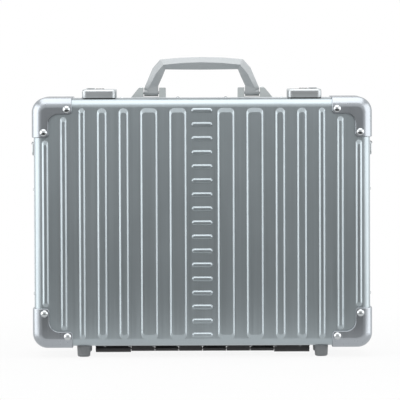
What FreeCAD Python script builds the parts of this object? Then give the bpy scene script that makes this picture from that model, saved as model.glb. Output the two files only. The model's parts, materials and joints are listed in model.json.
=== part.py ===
import FreeCAD, Part  # FreeCAD has to be imported before Part

import math
import os

# Aluminium attache case, standing on its feet with the hinge below and the handle on top.
# Frame: +X to the right, +Y to the back, +Z up, millimetres. The origin is under the middle of
# the case, on the surface that the feet stand on. The lid is the front half, the base the rear.

# ---- driving dimensions ---------------------------------------------------------------------
SHELL_W, SHELL_H = 418.8, 307.9   # outside of the drawn sheet, without frames and guards
CORNER_R = 16.0                   # corner of the case seen from the front
EDGE_R = 9.8                      # rounding from the ribbed face to the sides
SHEET_T = 1.5
FACE_Y = 54.0                     # ribbed faces at -FACE_Y (lid) and +FACE_Y (base)
PARTING_Y = -10.0                 # plane where lid and base meet
FEET_H = 14.3
LID, BASE = -1, 1                 # sign of Y from the parting plane to the half's face

FLAT_W = 17.3                     # plain strip between two ribs
CENTRE_FLAT_W = 41.0              # strip that carries the row of short dashes
RIB_WIDTHS = (18.8, 18.8, 9.7, 9.7, 5.6, 5.6, 5.6)     # from the middle outwards, at mid height
RIB_ENDS = (12.5, 12.5, 12.5, 12.5, 12.5, 23.5, 52.5)  # rib end to the shell's top and bottom
RIB_H, RIB_FLANK, RIB_RAMP = 1.6, 2.0, 5.4             # its ends slope more gently than its sides
RIB_CREST_R, RIB_FOOT_R = 1.2, 1.0
EMBOSS_SUNK = 0.8                 # how far an embossed bar reaches into the sheet before it is joined
DASH_L, DASH_W, DASH_H, DASH_FLANK = 25.5, 5.6, 1.4, 1.6
DASH_PITCH, DASH_COUNT = 17.5, 17
RIB_DROP = 1.1                    # the ribs' middle lies this far below the shell's middle

FRAME_PROUD = 1.6                 # extruded frame stands this far out of the shell
FRAME_DEPTH = 12.0
FRAME_INNER = 7.0                 # frame's inner face, in from the shell's outside
WEB_T = {LID: 5.5, BASE: 3.0}
SEAM = 0.2                        # half of the gap between the closed frames
TONGUE = (3.0, 5.0)               # in from the shell's outside
GROOVE = (2.7, 5.6)
TONGUE_L, GROOVE_D = 2.5, 2.8

GUARD_T = 2.6
GUARD_ARM, GUARD_ARM_W = 50.0, 21.0
GUARD_INNER_R, GUARD_TIP_R, GUARD_LIP_R = 12.0, 4.2, 0.9
GUARD_RIVET = (43.6, 14.8)        # along the arm and across it, from the guard's outside
GUARD_RIVET_R, GUARD_RIVET_H, GUARD_RIVET_SHANK_R = 4.4, 2.0, 1.6
FRAME_RIVET_R, FRAME_RIVET_H, FRAME_RIVET_SHANK_R = 2.4, 1.1, 1.1
SIDE_RIVETS_Z = (78.0, 209.0, 288.0)
LID_TOP_RIVETS_X = (-100.0, -30.0, 30.0, 100.0)
BASE_TOP_RIVETS_X = (-30.0, 30.0)

HINGE_Z = 7.4
HINGE_HALF, HINGE_END_L, HINGE_MIDDLE_KNUCKLES = 134.8, 44.8, 6
KNUCKLE_R, END_KNUCKLE_R, PIN_R = 3.0, 4.3, 1.25
KNUCKLE_GAP, KNUCKLE_WALL = 0.25, 1.4
LEAF_T, LEAF_W = 1.2, 11.5
HINGE_RIVETS, HINGE_RIVET_MARGIN = 9, 12.0

HANDLE_Y, HANDLE_PIVOT_Z = 3.0, 6.0   # the pivot's height is above the frame's top
LEG_IN, LEG_OUT, LEG_HALF_D = 54.7, 72.4, 4.5
HANDLE_BORE_R, HANDLE_PIN_R = 2.0, 1.95
BRACKET_IN, BRACKET_OUT, BRACKET_TOP = 45.2, 89.0, 79.0
SLOT_IN, SLOT_OUT, SLOT_FLOOR = 53.7, 73.4, 0.7
BRACKET_H, BRACKET_D = 12.2, 23.0
CHEEK_HALF_D = 5.5                # the inner cheek is this narrow, so that the folding leg clears it

LATCH_X, LATCH_W, LATCH_H = 128.6, 42.2, 10.4
LATCH_FRONT, LATCH_REAR = -34.0, 30.0
LATCH_CORNER_R, LATCH_EDGE_R = 5.6, 2.9
LATCH_STEP_H, LATCH_STEP_REAR = 4.0, 3.6   # the housing's low front part, under the hasp
HASP_PIVOT = (-24.5, 6.4)         # y, and z above the frame's top
HASP_BARREL_R, HASP_BORE_R, HASP_PIN_R = 3.3, 1.25, 1.2
HASP_ARM_HALF, HASP_T = 15.1, 3.0
GASKET_T = 1.5
DIAL_R, DIAL_T, DIAL_PITCH, DIAL_Y = 6.0, 3.0, 3.6, 21.0
DIAL_PROUD, DIAL_NOTCH_R, DIAL_DIGITS, DIAL_AXLE_R, DIAL_BORE_R = 0.8, 0.7, 10, 0.8, 0.88
BOLT_Y, BOLT_Z, BOLT_R = -3.0, 3.5, 1.3
THUMB_H = 1.0

STAY_Z, STAY_HALF_Y, STAY_X = 127.0, 8.0, 199.0
STAY_ARM_T, STAY_ARM_HALF_W, STAY_EYE_R = 1.5, 4.2, 5.0
STAY_PIN_R, STAY_BORE_R, STAY_HEAD_R = 2.0, 2.05, 3.4

RING_Z, RING_Y, RING_WIRE_R = 266.0, 14.0, 1.25
RING_HALF_W, RING_DROP, RING_BEND = 9.0, 14.0, 4.0
RING_BARREL_R, RING_BARREL_HALF, RING_STANDOFF = 2.2, 5.0, 1.9

FOOT_X, FOOT_Y, FOOT_TOP_R, FOOT_TIP_R, FOOT_EDGE_R = 148.7, 35.0, 8.6, 7.9, 2.4

LINING_GAP, LINING_T = 0.2, 2.0
PANEL_Y = (-50.0, -46.0)
POCKET_Y = (-45.8, -39.8)
SMALL_POCKET_Y = (-39.6, -36.6)
LOOP_Y = (-45.8, -34.8)
PAD_Y = (44.0, 50.0)
STRAP_Y = (41.6, 43.8)

# ---- derived places -------------------------------------------------------------------------
SHELL_BOTTOM = FEET_H
SHELL_TOP = SHELL_BOTTOM + SHELL_H
MIDDLE_Z = (SHELL_BOTTOM + SHELL_TOP) / 2
SIDE_X = SHELL_W / 2
FRAME_TOP = SHELL_TOP + FRAME_PROUD
FRAME_BOTTOM = SHELL_BOTTOM - FRAME_PROUD
FRAME_X = SIDE_X + FRAME_PROUD
GUARD_X = SIDE_X + GUARD_T
LATCH_TOP = FRAME_TOP + LATCH_H
DIAL_Z = LATCH_TOP + DIAL_PROUD - DIAL_R
RING_X = -FRAME_X - RING_STANDOFF

V = FreeCAD.Vector
X_AXIS, Y_AXIS, Z_AXIS = V(1, 0, 0), V(0, 1, 0), V(0, 0, 1)


# ---- drawing helpers ------------------------------------------------------------------------
def outline(corners, place):
    """Face inside a closed outline. corners are (a, b, radius); place turns (a, b) into a point."""
    edges, ends, count = [], [], len(corners)
    for i, (a, b, radius) in enumerate(corners):
        here = V(a, b, 0)
        before = V(*corners[i - 1][:2], 0).sub(here)
        after = V(*corners[(i + 1) % count][:2], 0).sub(here)
        before.normalize()
        after.normalize()
        if radius <= 0:
            ends.append((here, here))
            continue
        half = before.getAngle(after) / 2
        reach = radius / math.tan(half)
        start, stop = here + before * reach, here + after * reach
        bisector = (before + after).normalize()
        middle = here + bisector * (radius / math.sin(half) - radius)
        edges.append(Part.Arc(place(start), place(middle), place(stop)).toShape())
        ends.append((start, stop))
    for i in range(count):
        start, stop = ends[i - 1][1], ends[i][0]
        if start.distanceToPoint(stop) > 1e-6:
            edges.append(Part.makeLine(place(start), place(stop)))
    return Part.Face(Part.Wire(Part.__sortEdges__(edges)))


def rectangle(a0, b0, a1, b1, radius=0.0):
    return [(a0, b0, radius), (a1, b0, radius), (a1, b1, radius), (a0, b1, radius)]


def seen_from_front(y):
    return lambda p: V(p.x, y, p.y)


def seen_from_side(x):
    return lambda p: V(x, p.x, p.y)


def seen_from_top(z):
    return lambda p: V(p.x, p.y, z)


def box(x0, x1, y0, y1, z0, z1):
    return Part.makeBox(x1 - x0, y1 - y0, z1 - z0, V(x0, y0, z0))


def along_x(x0, x1, y, z, radius):
    return Part.makeCylinder(radius, x1 - x0, V(x0, y, z), X_AXIS)


def along_y(x, y0, y1, z, radius):
    return Part.makeCylinder(radius, y1 - y0, V(x, y0, z), Y_AXIS)


def case_face(offset, y):
    """The case's outline seen from the front, grown by offset."""
    half_w, half_h = SHELL_W / 2 + offset, SHELL_H / 2 + offset
    corners = rectangle(-half_w, MIDDLE_Z - half_h, half_w, MIDDLE_Z + half_h, CORNER_R + offset)
    return outline(corners, seen_from_front(y))


def case_prism(offset, y0, y1):
    low, high = min(y0, y1), max(y0, y1)
    return case_face(offset, low).extrude(V(0, high - low, 0))


def edges_at_y(solid, y):
    return [e for e in solid.Edges if abs(e.BoundBox.YMin - y) < 1e-4 and abs(e.BoundBox.YMax - y) < 1e-4]


def half_block(half, offset, rim_y):
    """The whole volume of one half from its rim to its face, with the rounded front edge."""
    face_y = half * (FACE_Y + offset)
    block = case_prism(offset, rim_y, face_y)
    return block.makeFillet(EDGE_R + offset, edges_at_y(block, face_y))


def dome(point, direction, head_r, head_h, shank_r, shank_l):
    """A rivet: a domed head standing on a surface, with its shank going in behind it."""
    ball_r = (head_r ** 2 + head_h ** 2) / (2 * head_h)
    centre = point - direction * (ball_r - head_h)
    ball = Part.makeSphere(ball_r, centre)
    head = ball.common(Part.makeCylinder(head_r, head_h + 1, point, direction))
    return head.fuse(Part.makeCylinder(shank_r, shank_l, point - direction * shank_l, direction)).removeSplitter()


def in_both(make):
    """A piece at the left and its mirror image at the right."""
    left = make()
    return [left, left.mirror(V(0, 0, 0), X_AXIS)]


# ---- ribbed shells --------------------------------------------------------------------------
def embossing(half, width, height, end_r, x, z, flank, ramp, rise):
    """A raised bar on the half's face. width and height are taken half way up its slopes: flank is
    the slope's run at its long sides, and ramp at its ends."""
    face_y = half * FACE_Y
    wires = []
    for level in (-EMBOSS_SUNK, rise):
        share = 0.5 - level / rise
        w, h, r = width / 2 + flank * share, height / 2 + ramp * share, end_r + flank * share
        shape = outline(rectangle(x - w, z - h, x + w, z + h, min(r, w - 0.01, h - 0.01)),
                        seen_from_front(face_y + half * level))
        wires.append(shape.OuterWire)
    bar = Part.makeLoft(wires, True, True)
    return bar.makeFillet(RIB_CREST_R, edges_at_y(bar, face_y + half * rise))


def ribs(half):
    middle = MIDDLE_Z - RIB_DROP
    bars, start = [], CENTRE_FLAT_W / 2
    for width, margin in zip(RIB_WIDTHS, RIB_ENDS):
        centre, length = start + width / 2, SHELL_H - 2 * margin
        end_r = min(width / 2, 5.0) - 0.05
        for x in (-centre, centre):
            bars.append(embossing(half, width, length, end_r, x, middle, RIB_FLANK, RIB_RAMP, RIB_H))
        start += width + FLAT_W
    length, width = DASH_L - DASH_FLANK, DASH_W - DASH_FLANK
    for i in range(DASH_COUNT):
        z = MIDDLE_Z + (i - (DASH_COUNT - 1) / 2) * DASH_PITCH
        bars.append(embossing(half, length, width, width / 2 - 0.05, 0, z, DASH_FLANK, DASH_FLANK, DASH_H))
    return bars


def shell(half):
    rim_y = PARTING_Y + half * WEB_T[half]
    outer = half_block(half, 0, rim_y).fuse(ribs(half))
    face_y = half * FACE_Y
    flats = [f for f in outer.Faces if abs(f.BoundBox.YMin - face_y) < 1e-4 and abs(f.BoundBox.YMax - face_y) < 1e-4]
    flat = max(flats, key=lambda f: f.BoundBox.XLength * f.BoundBox.ZLength)
    feet_of_ribs = [e for w in flat.Wires if not w.isSame(flat.OuterWire) for e in w.Edges]
    outer = outer.makeFillet(RIB_FOOT_R, feet_of_ribs)
    return outer.cut(half_block(half, -SHEET_T, rim_y - half))


# ---- extruded frames ------------------------------------------------------------------------
def frame(half):
    near, far = PARTING_Y + half * SEAM, PARTING_Y + half * FRAME_DEPTH
    web_end = PARTING_Y + half * WEB_T[half]
    body = case_prism(FRAME_PROUD, near, far)
    body = body.makeFillet(0.8, edges_at_y(body, far))
    body = body.cut(case_prism(-FRAME_INNER, near - half, far + half))
    body = body.cut(case_prism(0, web_end, far + half).cut(case_prism(-SHEET_T, web_end, far + half)))
    body = body.cut(case_prism(-SHEET_T - 2, web_end, far + half))
    if half == BASE:
        tip = PARTING_Y - TONGUE_L
        tongue = case_prism(-TONGUE[0], tip, near).cut(case_prism(-TONGUE[1], tip - 1, near + 1))
        body = body.fuse(tongue).removeSplitter()
    else:
        floor = PARTING_Y - GROOVE_D
        body = body.cut(case_prism(-GROOVE[0], floor, near + 1).cut(case_prism(-GROOVE[1], floor - 1, near + 1)))
    for x0, x1, radius, _ in knuckles():
        body = body.cut(along_x(x0 - 0.3, x1 + 0.3, PARTING_Y, HINGE_Z, radius + 0.4))
    return body


# ---- corner guards and rivets -----------------------------------------------------------------
def guard(half):
    """The guard of the left top corner."""
    left, top = -GUARD_X, SHELL_TOP + GUARD_T
    arm, wide, out = GUARD_ARM, GUARD_ARM_W, 6.0
    corners = [(-out, out, 0), (arm, out, 0), (arm, -wide, GUARD_TIP_R), (wide, -wide, GUARD_INNER_R),
               (wide, -arm, GUARD_TIP_R), (-out, -arm, 0)]
    corners = [(left + a, top + b, r) for a, b, r in corners]
    rim_y = PARTING_Y + half * (FRAME_DEPTH + SEAM)
    far = half * (FACE_Y + 10)
    cap = half_block(half, GUARD_T, rim_y).cut(half_block(half, 0, rim_y - half))
    low, high = min(rim_y, far), max(rim_y, far)
    cap = cap.common(outline(corners, seen_from_front(low)).extrude(V(0, high - low, 0)))
    flat_x, flat_z = left + EDGE_R + GUARD_T + 1, top - EDGE_R - GUARD_T - 1
    lip = [e for e in edges_at_y(cap, half * (FACE_Y + GUARD_T))
           if e.CenterOfMass.x > flat_x and e.CenterOfMass.z < flat_z]
    return cap.makeFillet(GUARD_LIP_R, lip)


def four_corners(solid):
    left = [solid, solid.mirror(V(0, 0, MIDDLE_Z), Z_AXIS)]
    return [(s, s.mirror(V(0, 0, 0), X_AXIS)) for s in left]


def guard_rivet_points(half):
    along, across = GUARD_RIVET
    reach_x, reach_z = SIDE_X + GUARD_T, SHELL_H / 2 + GUARD_T
    spots = [(reach_x - along, reach_z - across), (reach_x - across, reach_z - along)]
    y = half * (FACE_Y + GUARD_T)
    return [V(sx * x, y, MIDDLE_Z + sz * z) for x, z in spots for sx in (-1, 1) for sz in (-1, 1)]


def guard_rivets(half):
    out = V(0, half, 0)
    deep = GUARD_T + SHEET_T
    return [dome(p, out, GUARD_RIVET_R, GUARD_RIVET_H, GUARD_RIVET_SHANK_R, deep) for p in guard_rivet_points(half)]


def frame_rivets(half):
    y = PARTING_Y + half * (FRAME_DEPTH / 2 + 1)
    top_x = LID_TOP_RIVETS_X if half == LID else BASE_TOP_RIVETS_X
    places = [(V(s * FRAME_X, y, z), V(s, 0, 0)) for s in (-1, 1) for z in SIDE_RIVETS_Z]
    places += [(V(x, y, FRAME_TOP), Z_AXIS) for x in top_x]
    places += [(V(x, y, FRAME_BOTTOM - LEAF_T), V(0, 0, -1)) for x in hinge_rivets_x()]
    rivets = []
    for point, out in places:
        deep = FRAME_PROUD + (LEAF_T if out.z < 0 else 0)
        rivets.append(dome(point, out, FRAME_RIVET_R, FRAME_RIVET_H, FRAME_RIVET_SHANK_R, deep))
    return rivets


def hinge_rivets_x():
    step = 2 * (HINGE_HALF - HINGE_RIVET_MARGIN) / (HINGE_RIVETS - 1)
    return [-HINGE_HALF + HINGE_RIVET_MARGIN + i * step for i in range(HINGE_RIVETS)]


# ---- piano hinge ----------------------------------------------------------------------------
def knuckles():
    """(x0, x1, radius, half it belongs to), from left to right, taking turns."""
    middle = 2 * (HINGE_HALF - HINGE_END_L) / HINGE_MIDDLE_KNUCKLES
    lengths = [HINGE_END_L] + [middle] * HINGE_MIDDLE_KNUCKLES + [HINGE_END_L]
    found, x = [], -HINGE_HALF
    for i, length in enumerate(lengths):
        radius = END_KNUCKLE_R if i in (0, len(lengths) - 1) else KNUCKLE_R
        found.append((x + KNUCKLE_GAP, x + length - KNUCKLE_GAP, radius, (BASE, LID)[i % 2]))
        x += length
    return found


def hinge_leaf(half):
    y0, y1 = sorted((PARTING_Y, PARTING_Y + half * LEAF_W))
    leaf = box(-HINGE_HALF, HINGE_HALF, y0, y1, FRAME_BOTTOM - LEAF_T, FRAME_BOTTOM)
    for x0, x1, radius, owner in knuckles():
        if owner != half:
            reach = radius + 0.5
            leaf = leaf.cut(box(x0 - 0.5, x1 + 0.5, PARTING_Y - reach, PARTING_Y + reach, 0, FRAME_BOTTOM + 1))
    for x0, x1, radius, owner in knuckles():
        if owner == half:
            neck_y0, neck_y1 = sorted((PARTING_Y + half * (radius - KNUCKLE_WALL), PARTING_Y + half * radius))
            neck = box(x0, x1, neck_y0, neck_y1, HINGE_Z, FRAME_BOTTOM)
            leaf = leaf.fuse([along_x(x0, x1, PARTING_Y, HINGE_Z, radius), neck])
    leaf = leaf.removeSplitter().cut(along_x(-HINGE_HALF - 1, HINGE_HALF + 1, PARTING_Y, HINGE_Z, PIN_R + 0.05))
    rivet_y, bottom = PARTING_Y + half * (FRAME_DEPTH / 2 + 1), FRAME_BOTTOM - LEAF_T
    return leaf.cut([Part.makeCylinder(FRAME_RIVET_SHANK_R, LEAF_T, V(x, rivet_y, bottom), Z_AXIS)
                     for x in hinge_rivets_x()])


# ---- handle ---------------------------------------------------------------------------------
def handle_grip():
    """Faceted bow. Each station across it has an outer, a facet and an inner point seen from the front."""
    top = FRAME_TOP
    leg = LEG_HALF_D
    # (x, z above the frame's top, half depth) of the three points, from the foot to the middle
    stations = [
        ((LEG_OUT, 2.0, leg - 2), (LEG_OUT - 5.6, 2.0, leg), (LEG_IN, 2.0, leg)),
        ((LEG_OUT, 11.5, leg - 2), (LEG_OUT - 5.4, 11.5, leg), (LEG_IN, 14.5, leg)),
        ((61.7, 36.9, 4.5), (57.5, 30.0, 9.6), (48.8, 27.5, 7.0)),
        ((52.0, 47.8, 4.2), (48.0, 41.0, 11.2), (45.7, 35.2, 7.0)),
        ((26.0, 49.9, 4.2), (25.0, 43.2, 11.2), (24.0, 34.9, 7.0)),
        ((0.0, 50.6, 4.2), (0.0, 44.0, 11.2), (0.0, 34.7, 7.0)),
    ]
    mirrored = [tuple((-x, z, d) for x, z, d in station) for station in stations[-2::-1]]
    wires = []
    for station in stations + mirrored:
        front = [V(x, HANDLE_Y - d, top + z) for x, z, d in station]
        rear = [V(x, HANDLE_Y + d, top + z) for x, z, d in station]
        ring = rear + front[::-1]
        wires.append(Part.makePolygon(ring + ring[:1]))
    bow = Part.makeLoft(wires, True, True)
    pivot_z = top + HANDLE_PIVOT_Z
    for s in (-1, 1):
        x0, x1 = sorted((s * LEG_IN, s * LEG_OUT))
        below = box(x0 - 5, x1 + 5, HANDLE_Y - 20, HANDLE_Y + 20, top - 5, pivot_z)
        bow = bow.cut(below).fuse(along_x(x0, x1, HANDLE_Y, pivot_z, LEG_HALF_D))
    bow = bow.removeSplitter()
    return bow.cut(along_x(-BRACKET_OUT, BRACKET_OUT, HANDLE_Y, pivot_z, HANDLE_BORE_R))


def handle_bracket():
    """Left bracket: a block with a sloping outer end and a slot for the handle's leg."""
    z0, z1 = SHELL_TOP, FRAME_TOP + BRACKET_H
    corners = [(-BRACKET_OUT - 2, z0, 0), (-BRACKET_IN, z0, 0), (-BRACKET_IN, z1, 1.2), (-BRACKET_TOP, z1, 2.0),
               (-BRACKET_OUT, FRAME_TOP, 0)]
    y0, y1 = HANDLE_Y - BRACKET_D / 2, HANDLE_Y + BRACKET_D / 2
    block = outline(corners, seen_from_front(y0)).extrude(V(0, y1 - y0, 0))
    block = block.cut(case_prism(FRAME_PROUD, PARTING_Y + SEAM, PARTING_Y + FRAME_DEPTH))
    floor = FRAME_TOP + SLOT_FLOOR
    block = block.cut(box(-SLOT_OUT, -SLOT_IN, y0 - 1, y1 + 1, floor, z1 + 1))
    step = FRAME_TOP + 1.6
    for outer_y, inner_y in ((y0 - 1, HANDLE_Y - CHEEK_HALF_D), (y1 + 1, HANDLE_Y + CHEEK_HALF_D)):
        low, high = sorted((outer_y, inner_y))
        block = block.cut(box(-SLOT_IN - 1, -BRACKET_IN + 1, low, high, step, z1 + 1))
    return block.cut(along_x(-BRACKET_TOP + 2, -BRACKET_IN - 3, HANDLE_Y, FRAME_TOP + HANDLE_PIVOT_Z, HANDLE_BORE_R))


def handle_pin():
    return along_x(-BRACKET_TOP + 2, -BRACKET_IN - 3, HANDLE_Y, FRAME_TOP + HANDLE_PIVOT_Z, HANDLE_PIN_R)


def bracket_screws():
    """Raised screw heads on the left bracket: one on its outer block, one beside its inner cheek."""
    y = HANDLE_Y + BRACKET_D / 2
    return [dome(V(-76.4, y - 4.2, FRAME_TOP + BRACKET_H), Z_AXIS, 2.2, 1.0, 1.2, 3.0),
            dome(V(-49.5, y - 3.0, FRAME_TOP + 1.6), Z_AXIS, 2.2, 0.9, 1.0, 1.4)]


# ---- latches --------------------------------------------------------------------------------
def latch_plan(y0, y1, r_front, r_rear, z, shrink=0.0):
    u = LATCH_W / 2 - shrink
    corners = [(-u, y0, r_front), (u, y0, r_front), (u, y1, r_rear), (-u, y1, r_rear)]
    return outline(corners, seen_from_top(z))


def hasp_block():
    """Fixed block on the lid that carries the hasp's pin. Its front face is what shows in front."""
    z0, z1 = SHELL_TOP + GASKET_T, LATCH_TOP
    y, z = HASP_PIVOT[0], FRAME_TOP + HASP_PIVOT[1]
    rear = y + HASP_BARREL_R
    block = latch_plan(LATCH_FRONT, rear, LATCH_CORNER_R, 1.0, z0).extrude(V(0, 0, z1 - z0))
    rim = [e for e in block.Edges if e.BoundBox.ZMin > z1 - 0.01 and e.BoundBox.YMin < rear - 1]
    block = block.makeFillet(LATCH_EDGE_R, rim)
    block = block.cut(case_prism(FRAME_PROUD + 0.3, PARTING_Y - 0.1, PARTING_Y - FRAME_DEPTH - 0.3))
    window = HASP_ARM_HALF + 0.4
    block = block.cut(box(-window, window, y - HASP_BARREL_R - 0.8, rear + 1, FRAME_TOP + 0.8, z1 + 1))
    return block.cut(along_x(-19, 19, y, z, HASP_BORE_R))


def hasp_gasket():
    pad = latch_plan(LATCH_FRONT + 1.2, PARTING_Y - FRAME_DEPTH - 0.4, LATCH_CORNER_R - 1.2, 1.0, SHELL_TOP, 1.2)
    return pad.extrude(V(0, 0, GASKET_T))


def hasp():
    """Lever with its barrel at the front and its tongue at the back."""
    y, z = HASP_PIVOT[0], FRAME_TOP + HASP_PIVOT[1]
    arm, wing, wing_y, rear = HASP_ARM_HALF, LATCH_W / 2, y + 5.1, LATCH_STEP_REAR - 0.8
    barrel = along_x(-arm, arm, y, z, HASP_BARREL_R)
    plate_z = LATCH_TOP - HASP_T
    plan = outline([(-arm, y, 0), (arm, y, 0), (arm, wing_y, 0), (wing, wing_y, 1), (wing, rear, 2.5),
                    (-wing, rear, 2.5), (-wing, wing_y, 1), (-arm, wing_y, 0)], seen_from_top(plate_z))
    plate = plan.extrude(V(0, 0, HASP_T))
    rim = [e for e in plate.Edges if e.BoundBox.ZMin > LATCH_TOP - 0.01 and e.BoundBox.YMax > y + 1]
    plate = plate.makeFillet(1.0, rim)
    tongue = box(-1.2, 1.2, BOLT_Y - 3, BOLT_Y + 3, FRAME_TOP + 1.0, plate_z)
    lever = barrel.fuse([plate, tongue]).removeSplitter()
    lever = lever.cut(along_x(-wing - 1, wing + 1, y, z, HASP_BORE_R))
    return lever.cut(along_x(-2, 2, BOLT_Y, FRAME_TOP + BOLT_Z, BOLT_R + 0.3))


def hasp_pin():
    return along_x(-19, 19, HASP_PIVOT[0], FRAME_TOP + HASP_PIVOT[1], HASP_PIN_R)


def latch_housing():
    """Lock body on the base: a low front step with the tongue's slot, dial wells and slide track."""
    u = LATCH_W / 2
    low = box(-u, u, PARTING_Y + 0.6, LATCH_STEP_REAR, SHELL_TOP, LATCH_TOP - LATCH_STEP_H)
    high = latch_plan(LATCH_STEP_REAR, LATCH_REAR, 1.5, LATCH_CORNER_R, SHELL_TOP).extrude(V(0, 0, LATCH_TOP - SHELL_TOP))
    high = high.makeFillet(1.6, [e for e in high.Edges if e.BoundBox.ZMin > LATCH_TOP - 0.01])
    body = low.fuse(high).removeSplitter()
    body = body.cut(case_prism(FRAME_PROUD, PARTING_Y + SEAM, PARTING_Y + FRAME_DEPTH))
    tongue_slot = box(-1.9, 1.9, PARTING_Y, BOLT_Y + 4.4, FRAME_TOP + 0.5, LATCH_TOP + 1)
    rod_z = FRAME_TOP + BOLT_Z
    bolt_track = box(-17.5, 8.5, BOLT_Y - 2.2, 12.2, rod_z - 1.8, rod_z + 1.8)
    thumb_slot = box(-15.5, -1.0, 7.0, 12.0, rod_z, LATCH_TOP + 1)
    body = body.cut([tongue_slot, bolt_track, thumb_slot])
    for i in (-1, 0, 1):
        x, half = i * DIAL_PITCH, DIAL_T / 2 + 0.15
        body = body.cut(along_x(x - half, x + half, DIAL_Y, DIAL_Z, DIAL_R + 0.4))
    return body.cut(along_x(-9, 9, DIAL_Y, DIAL_Z, DIAL_AXLE_R + 0.05))


def dial_axle():
    return along_x(-9, 9, DIAL_Y, DIAL_Z, DIAL_AXLE_R)


def dial(i):
    """Number wheel with a grip notch between each two of its flats."""
    x, half = i * DIAL_PITCH, DIAL_T / 2
    wheel = along_x(x - half, x + half, DIAL_Y, DIAL_Z, DIAL_R)
    notches = []
    for k in range(DIAL_DIGITS):
        angle = 2 * math.pi * (k + 0.5) / DIAL_DIGITS
        reach = DIAL_R + 0.25
        y, z = DIAL_Y + reach * math.sin(angle), DIAL_Z + reach * math.cos(angle)
        notches.append(along_x(x - half - 1, x + half + 1, y, z, DIAL_NOTCH_R))
    return wheel.cut(notches).cut(along_x(x - 5, x + 5, DIAL_Y, DIAL_Z, DIAL_BORE_R))


def slide_button():
    """Thumb slide on top, with the bolt that it pushes through the hasp's tongue."""
    rod_z = FRAME_TOP + BOLT_Z
    arm = box(-15.0, -9.4, BOLT_Y - 1.3, 11.2, rod_z - 1.3, rod_z + 1.3)
    neck = box(-14.6, -8.4, 7.5, 11.5, rod_z - 1.3, LATCH_TOP + 0.4)
    thumb = outline(rectangle(-17.2, 6.2, -6.0, 12.8, 1.5), seen_from_top(LATCH_TOP + 0.3)).extrude(V(0, 0, THUMB_H))
    groove_z = LATCH_TOP + 0.3 + THUMB_H
    thumb = thumb.cut([along_y(-14.6 + 1.5 * i, 7.2, 11.8, groove_z, 0.45) for i in range(5)])
    bolt = along_x(-12, -2.6, BOLT_Y, rod_z, BOLT_R)
    return arm.fuse([neck, thumb, bolt]).removeSplitter()


def at_latch(make, side):
    """A latch piece drawn about x = 0, moved to the left latch, or mirrored to the right one."""
    piece = make()
    if side > 0:
        piece = piece.mirror(V(0, 0, 0), X_AXIS)
    return piece.translated(V(side * LATCH_X, 0, 0))


# ---- strap rings ----------------------------------------------------------------------------
def ring_bracket():
    """Plate on the case's left side with the barrel that the ring's bar turns in."""
    corners = rectangle(RING_Y - 11, RING_Z - 4.5, RING_Y + 11, RING_Z + 7, 2.5)
    plate = outline(corners, seen_from_side(-FRAME_X)).extrude(V(FRAME_PROUD, 0, 0))
    y0, y1 = RING_Y - RING_BARREL_HALF, RING_Y + RING_BARREL_HALF
    barrel = along_y(RING_X, y0, y1, RING_Z, RING_BARREL_R)
    web = box(RING_X, -FRAME_X + 0.2, y0, y1, RING_Z - 1.0, RING_Z + RING_BARREL_R)
    piece = plate.fuse([barrel, web]).removeSplitter()
    return piece.cut(along_y(RING_X, y0 - 1, y1 + 1, RING_Z, RING_WIRE_R + 0.08))


def strap_ring():
    """Closed wire loop hanging from its straight bar, left side."""
    low, high = RING_Y - RING_HALF_W, RING_Y + RING_HALF_W
    path = outline([(low, RING_Z, RING_BEND / 2), (high, RING_Z, RING_BEND / 2),
                    (high, RING_Z - RING_DROP, RING_BEND), (low, RING_Z - RING_DROP, RING_BEND)],
                   seen_from_side(RING_X)).OuterWire
    start = path.Edges[0]
    spot, way = start.valueAt(start.FirstParameter), start.tangentAt(start.FirstParameter)
    section = Part.Wire(Part.makeCircle(RING_WIRE_R, spot, way))
    return path.makePipeShell([section], True, False)


# ---- lid stays ------------------------------------------------------------------------------
def stay_points():
    """Base pivot, lid pivot and knee as (y, z), with the lid shut: a rhombus with the hinge."""
    base = (PARTING_Y + STAY_HALF_Y, STAY_Z)
    lid = (PARTING_Y - STAY_HALF_Y, STAY_Z)
    knee = (PARTING_Y, 2 * STAY_Z - HINGE_Z)
    return base, lid, knee


def stay_arm(pivot, knee, x):
    """Flat bar from a pivot to the knee, at the left, from x inwards."""
    bar = along_x(x, x + STAY_ARM_T, *pivot, STAY_EYE_R).fuse(along_x(x, x + STAY_ARM_T, *knee, STAY_EYE_R))
    dy, dz = knee[0] - pivot[0], knee[1] - pivot[1]
    length = math.hypot(dy, dz)
    ny, nz = -dz / length * STAY_ARM_HALF_W, dy / length * STAY_ARM_HALF_W
    corners = [(pivot[0] + ny, pivot[1] + nz, 0), (knee[0] + ny, knee[1] + nz, 0),
               (knee[0] - ny, knee[1] - nz, 0), (pivot[0] - ny, pivot[1] - nz, 0)]
    bar = bar.fuse(outline(corners, seen_from_side(x)).extrude(V(STAY_ARM_T, 0, 0))).removeSplitter()
    return bar.cut(along_x(x - 1, x + STAY_ARM_T + 1, *pivot, STAY_BORE_R))


def stay_base_arm():
    """The outer arm, with the knee's headed pin."""
    base, _, knee = stay_points()
    arm = stay_arm(base, knee, -STAY_X - STAY_ARM_T)
    head_x = -STAY_X + 2 * STAY_ARM_T + 1
    pin = along_x(-STAY_X, head_x, *knee, STAY_PIN_R).fuse(along_x(head_x, head_x + 1, *knee, STAY_HEAD_R))
    return arm.fuse(pin).removeSplitter()


def stay_lid_arm():
    """The inner arm. Its eye goes round the knee's pin with clearance."""
    _, lid, knee = stay_points()
    arm = stay_arm(lid, knee, -STAY_X + STAY_ARM_T)
    return arm.cut(along_x(-STAY_X, -STAY_X + 3 * STAY_ARM_T, *knee, STAY_PIN_R + 0.2))


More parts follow.
